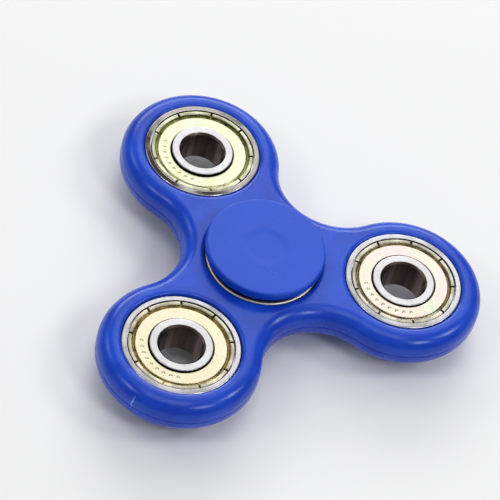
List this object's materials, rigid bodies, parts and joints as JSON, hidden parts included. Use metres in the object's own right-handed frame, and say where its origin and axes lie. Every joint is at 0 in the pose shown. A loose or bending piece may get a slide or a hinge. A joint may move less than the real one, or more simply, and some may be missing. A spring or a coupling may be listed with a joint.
{
  "type": "fidget spinner",
  "caption": "Hand spinner: a three-lobed moulded frame turning on a capped centre ball bearing between two finger pads, with an open ball bearing pressed into each arm.",
  "frame": {"origin": "on the spin axis of the centre bearing, half way through the frame's thickness", "axes": "+Z along the spin axis towards the upper cap; the first arm points along +Y, and the other two point 120 degrees to each side of it"},
  "size_m": [0.076, 0.0699, 0.0136],
  "materials": {
    "frame_plastic": "glossy moulded blue plastic with a fine parting line",
    "cap_plastic": "satin moulded blue plastic",
    "ring_steel": "ground and polished bearing steel",
    "ball_steel": "polished steel",
    "shield_plate": "yellow zinc plated sheet steel with a faint iridescence",
    "cage_steel": "bare pressed steel"
  },
  "bodies": {
    "hub": {"upper_cap": "cap_plastic", "lower_cap": "cap_plastic", "centre_inner_ring": "ring_steel"},
    "frame": {"frame": "frame_plastic", "centre_outer_ring": "ring_steel", "centre_upper_shield": "shield_plate", "centre_lower_shield": "shield_plate", "arm_1_outer_ring": "ring_steel", "arm_1_upper_shield": "shield_plate", "arm_1_lower_shield": "shield_plate", "arm_2_outer_ring": "ring_steel", "arm_2_upper_shield": "shield_plate", "arm_2_lower_shield": "shield_plate", "arm_3_outer_ring": "ring_steel", "arm_3_upper_shield": "shield_plate", "arm_3_lower_shield": "shield_plate"},
    "centre_cage": {"centre_upper_cage": "cage_steel", "centre_lower_cage": "cage_steel"},
    "centre_ball_1": {"centre_ball_1": "ball_steel"},
    "centre_ball_2": {"centre_ball_2": "ball_steel"},
    "centre_ball_3": {"centre_ball_3": "ball_steel"},
    "centre_ball_4": {"centre_ball_4": "ball_steel"},
    "centre_ball_5": {"centre_ball_5": "ball_steel"},
    "centre_ball_6": {"centre_ball_6": "ball_steel"},
    "centre_ball_7": {"centre_ball_7": "ball_steel"},
    "arm_1_inner_ring": {"arm_1_inner_ring": "ring_steel"},
    "arm_1_cage": {"arm_1_upper_cage": "cage_steel", "arm_1_lower_cage": "cage_steel"},
    "arm_1_ball_1": {"arm_1_ball_1": "ball_steel"},
    "arm_1_ball_2": {"arm_1_ball_2": "ball_steel"},
    "arm_1_ball_3": {"arm_1_ball_3": "ball_steel"},
    "arm_1_ball_4": {"arm_1_ball_4": "ball_steel"},
    "arm_1_ball_5": {"arm_1_ball_5": "ball_steel"},
    "arm_1_ball_6": {"arm_1_ball_6": "ball_steel"},
    "arm_1_ball_7": {"arm_1_ball_7": "ball_steel"},
    "arm_2_inner_ring": {"arm_2_inner_ring": "ring_steel"},
    "arm_2_cage": {"arm_2_upper_cage": "cage_steel", "arm_2_lower_cage": "cage_steel"},
    "arm_2_ball_1": {"arm_2_ball_1": "ball_steel"},
    "arm_2_ball_2": {"arm_2_ball_2": "ball_steel"},
    "arm_2_ball_3": {"arm_2_ball_3": "ball_steel"},
    "arm_2_ball_4": {"arm_2_ball_4": "ball_steel"},
    "arm_2_ball_5": {"arm_2_ball_5": "ball_steel"},
    "arm_2_ball_6": {"arm_2_ball_6": "ball_steel"},
    "arm_2_ball_7": {"arm_2_ball_7": "ball_steel"},
    "arm_3_inner_ring": {"arm_3_inner_ring": "ring_steel"},
    "arm_3_cage": {"arm_3_upper_cage": "cage_steel", "arm_3_lower_cage": "cage_steel"},
    "arm_3_ball_1": {"arm_3_ball_1": "ball_steel"},
    "arm_3_ball_2": {"arm_3_ball_2": "ball_steel"},
    "arm_3_ball_3": {"arm_3_ball_3": "ball_steel"},
    "arm_3_ball_4": {"arm_3_ball_4": "ball_steel"},
    "arm_3_ball_5": {"arm_3_ball_5": "ball_steel"},
    "arm_3_ball_6": {"arm_3_ball_6": "ball_steel"},
    "arm_3_ball_7": {"arm_3_ball_7": "ball_steel"}
  },
  "joints": [
    {"name": "frame_spin", "type": "hinge", "parent": "hub", "child": "frame", "pos_m": [0, 0, 0], "axis": [0, 0, 1], "continuous": true},
    {"name": "centre_cage_spin", "type": "hinge", "parent": "hub", "child": "centre_cage", "pos_m": [0, 0, -0.0003], "axis": [0, 0, 1], "continuous": true},
    {"name": "centre_ball_1_roll", "type": "hinge", "parent": "centre_cage", "child": "centre_ball_1", "pos_m": [0.0075, 0, -0.0003], "axis": [0, 0, 1], "continuous": true},
    {"name": "centre_ball_2_roll", "type": "hinge", "parent": "centre_cage", "child": "centre_ball_2", "pos_m": [0.00468, 0.00586, -0.0003], "axis": [0, 0, 1], "continuous": true},
    {"name": "centre_ball_3_roll", "type": "hinge", "parent": "centre_cage", "child": "centre_ball_3", "pos_m": [-0.00167, 0.00731, -0.0003], "axis": [0, 0, 1], "continuous": true},
    {"name": "centre_ball_4_roll", "type": "hinge", "parent": "centre_cage", "child": "centre_ball_4", "pos_m": [-0.00676, 0.00325, -0.0003], "axis": [0, 0, 1], "continuous": true},
    {"name": "centre_ball_5_roll", "type": "hinge", "parent": "centre_cage", "child": "centre_ball_5", "pos_m": [-0.00676, -0.00325, -0.0003], "axis": [0, 0, 1], "continuous": true},
    {"name": "centre_ball_6_roll", "type": "hinge", "parent": "centre_cage", "child": "centre_ball_6", "pos_m": [-0.00167, -0.00731, -0.0003], "axis": [0, 0, 1], "continuous": true},
    {"name": "centre_ball_7_roll", "type": "hinge", "parent": "centre_cage", "child": "centre_ball_7", "pos_m": [0.00468, -0.00586, -0.0003], "axis": [0, 0, 1], "continuous": true},
    {"name": "arm_1_inner_ring_spin", "type": "hinge", "parent": "frame", "child": "arm_1_inner_ring", "pos_m": [0, 0.02645, 0], "axis": [0, 0, 1], "continuous": true},
    {"name": "arm_1_cage_spin", "type": "hinge", "parent": "frame", "child": "arm_1_cage", "pos_m": [0, 0.02645, 0], "axis": [0, 0, 1], "continuous": true},
    {"name": "arm_1_ball_1_roll", "type": "hinge", "parent": "arm_1_cage", "child": "arm_1_ball_1", "pos_m": [0.0075, 0.02645, 0], "axis": [0, 0, 1], "continuous": true},
    {"name": "arm_1_ball_2_roll", "type": "hinge", "parent": "arm_1_cage", "child": "arm_1_ball_2", "pos_m": [0.00468, 0.03231, 0], "axis": [0, 0, 1], "continuous": true},
    {"name": "arm_1_ball_3_roll", "type": "hinge", "parent": "arm_1_cage", "child": "arm_1_ball_3", "pos_m": [-0.00167, 0.03376, 0], "axis": [0, 0, 1], "continuous": true},
    {"name": "arm_1_ball_4_roll", "type": "hinge", "parent": "arm_1_cage", "child": "arm_1_ball_4", "pos_m": [-0.00676, 0.0297, 0], "axis": [0, 0, 1], "continuous": true},
    {"name": "arm_1_ball_5_roll", "type": "hinge", "parent": "arm_1_cage", "child": "arm_1_ball_5", "pos_m": [-0.00676, 0.0232, 0], "axis": [0, 0, 1], "continuous": true},
    {"name": "arm_1_ball_6_roll", "type": "hinge", "parent": "arm_1_cage", "child": "arm_1_ball_6", "pos_m": [-0.00167, 0.01914, 0], "axis": [0, 0, 1], "continuous": true},
    {"name": "arm_1_ball_7_roll", "type": "hinge", "parent": "arm_1_cage", "child": "arm_1_ball_7", "pos_m": [0.00468, 0.02059, 0], "axis": [0, 0, 1], "continuous": true},
    {"name": "arm_2_inner_ring_spin", "type": "hinge", "parent": "frame", "child": "arm_2_inner_ring", "pos_m": [-0.02291, -0.01323, -0.0004], "axis": [0, 0, 1], "continuous": true},
    {"name": "arm_2_cage_spin", "type": "hinge", "parent": "frame", "child": "arm_2_cage", "pos_m": [-0.02291, -0.01323, -0.0004], "axis": [0, 0, 1], "continuous": true},
    {"name": "arm_2_ball_1_roll", "type": "hinge", "parent": "arm_2_cage", "child": "arm_2_ball_1", "pos_m": [-0.01541, -0.01323, -0.0004], "axis": [0, 0, 1], "continuous": true},
    {"name": "arm_2_ball_2_roll", "type": "hinge", "parent": "arm_2_cage", "child": "arm_2_ball_2", "pos_m": [-0.01823, -0.00736, -0.0004], "axis": [0, 0, 1], "continuous": true},
    {"name": "arm_2_ball_3_roll", "type": "hinge", "parent": "arm_2_cage", "child": "arm_2_ball_3", "pos_m": [-0.02458, -0.00591, -0.0004], "axis": [0, 0, 1], "continuous": true},
    {"name": "arm_2_ball_4_roll", "type": "hinge", "parent": "arm_2_cage", "child": "arm_2_ball_4", "pos_m": [-0.02966, -0.00997, -0.0004], "axis": [0, 0, 1], "continuous": true},
    {"name": "arm_2_ball_5_roll", "type": "hinge", "parent": "arm_2_cage", "child": "arm_2_ball_5", "pos_m": [-0.02966, -0.01648, -0.0004], "axis": [0, 0, 1], "continuous": true},
    {"name": "arm_2_ball_6_roll", "type": "hinge", "parent": "arm_2_cage", "child": "arm_2_ball_6", "pos_m": [-0.02458, -0.02054, -0.0004], "axis": [0, 0, 1], "continuous": true},
    {"name": "arm_2_ball_7_roll", "type": "hinge", "parent": "arm_2_cage", "child": "arm_2_ball_7", "pos_m": [-0.01823, -0.01909, -0.0004], "axis": [0, 0, 1], "continuous": true},
    {"name": "arm_3_inner_ring_spin", "type": "hinge", "parent": "frame", "child": "arm_3_inner_ring", "pos_m": [0.02291, -0.01323, 0], "axis": [0, 0, 1], "continuous": true},
    {"name": "arm_3_cage_spin", "type": "hinge", "parent": "frame", "child": "arm_3_cage", "pos_m": [0.02291, -0.01323, 0], "axis": [0, 0, 1], "continuous": true},
    {"name": "arm_3_ball_1_roll", "type": "hinge", "parent": "arm_3_cage", "child": "arm_3_ball_1", "pos_m": [0.03041, -0.01323, 0], "axis": [0, 0, 1], "continuous": true},
    {"name": "arm_3_ball_2_roll", "type": "hinge", "parent": "arm_3_cage", "child": "arm_3_ball_2", "pos_m": [0.02758, -0.00736, 0], "axis": [0, 0, 1], "continuous": true},
    {"name": "arm_3_ball_3_roll", "type": "hinge", "parent": "arm_3_cage", "child": "arm_3_ball_3", "pos_m": [0.02124, -0.00591, 0], "axis": [0, 0, 1], "continuous": true},
    {"name": "arm_3_ball_4_roll", "type": "hinge", "parent": "arm_3_cage", "child": "arm_3_ball_4", "pos_m": [0.01615, -0.00997, 0], "axis": [0, 0, 1], "continuous": true},
    {"name": "arm_3_ball_5_roll", "type": "hinge", "parent": "arm_3_cage", "child": "arm_3_ball_5", "pos_m": [0.01615, -0.01648, 0], "axis": [0, 0, 1], "continuous": true},
    {"name": "arm_3_ball_6_roll", "type": "hinge", "parent": "arm_3_cage", "child": "arm_3_ball_6", "pos_m": [0.02124, -0.02054, 0], "axis": [0, 0, 1], "continuous": true},
    {"name": "arm_3_ball_7_roll", "type": "hinge", "parent": "arm_3_cage", "child": "arm_3_ball_7", "pos_m": [0.02758, -0.01909, 0], "axis": [0, 0, 1], "continuous": true}
  ],
  "couplings": [
    {"joint": "centre_cage_spin", "follows": "frame_spin", "ratio": 0.6323},
    {"joint": "centre_ball_1_roll", "follows": "frame_spin", "ratio": 1.7579},
    {"joint": "centre_ball_2_roll", "follows": "frame_spin", "ratio": 1.7579},
    {"joint": "centre_ball_3_roll", "follows": "frame_spin", "ratio": 1.7579},
    {"joint": "centre_ball_4_roll", "follows": "frame_spin", "ratio": 1.7579},
    {"joint": "centre_ball_5_roll", "follows": "frame_spin", "ratio": 1.7579},
    {"joint": "centre_ball_6_roll", "follows": "frame_spin", "ratio": 1.7579},
    {"joint": "centre_ball_7_roll", "follows": "frame_spin", "ratio": 1.7579},
    {"joint": "arm_1_cage_spin", "follows": "arm_1_inner_ring_spin", "ratio": 0.3677},
    {"joint": "arm_1_ball_1_roll", "follows": "arm_1_inner_ring_spin", "ratio": -1.7579},
    {"joint": "arm_1_ball_2_roll", "follows": "arm_1_inner_ring_spin", "ratio": -1.7579},
    {"joint": "arm_1_ball_3_roll", "follows": "arm_1_inner_ring_spin", "ratio": -1.7579},
    {"joint": "arm_1_ball_4_roll", "follows": "arm_1_inner_ring_spin", "ratio": -1.7579},
    {"joint": "arm_1_ball_5_roll", "follows": "arm_1_inner_ring_spin", "ratio": -1.7579},
    {"joint": "arm_1_ball_6_roll", "follows": "arm_1_inner_ring_spin", "ratio": -1.7579},
    {"joint": "arm_1_ball_7_roll", "follows": "arm_1_inner_ring_spin", "ratio": -1.7579},
    {"joint": "arm_2_cage_spin", "follows": "arm_2_inner_ring_spin", "ratio": 0.3677},
    {"joint": "arm_2_ball_1_roll", "follows": "arm_2_inner_ring_spin", "ratio": -1.7579},
    {"joint": "arm_2_ball_2_roll", "follows": "arm_2_inner_ring_spin", "ratio": -1.7579},
    {"joint": "arm_2_ball_3_roll", "follows": "arm_2_inner_ring_spin", "ratio": -1.7579},
    {"joint": "arm_2_ball_4_roll", "follows": "arm_2_inner_ring_spin", "ratio": -1.7579},
    {"joint": "arm_2_ball_5_roll", "follows": "arm_2_inner_ring_spin", "ratio": -1.7579},
    {"joint": "arm_2_ball_6_roll", "follows": "arm_2_inner_ring_spin", "ratio": -1.7579},
    {"joint": "arm_2_ball_7_roll", "follows": "arm_2_inner_ring_spin", "ratio": -1.7579},
    {"joint": "arm_3_cage_spin", "follows": "arm_3_inner_ring_spin", "ratio": 0.3677},
    {"joint": "arm_3_ball_1_roll", "follows": "arm_3_inner_ring_spin", "ratio": -1.7579},
    {"joint": "arm_3_ball_2_roll", "follows": "arm_3_inner_ring_spin", "ratio": -1.7579},
    {"joint": "arm_3_ball_3_roll", "follows": "arm_3_inner_ring_spin", "ratio": -1.7579},
    {"joint": "arm_3_ball_4_roll", "follows": "arm_3_inner_ring_spin", "ratio": -1.7579},
    {"joint": "arm_3_ball_5_roll", "follows": "arm_3_inner_ring_spin", "ratio": -1.7579},
    {"joint": "arm_3_ball_6_roll", "follows": "arm_3_inner_ring_spin", "ratio": -1.7579},
    {"joint": "arm_3_ball_7_roll", "follows": "arm_3_inner_ring_spin", "ratio": -1.7579}
  ]
}
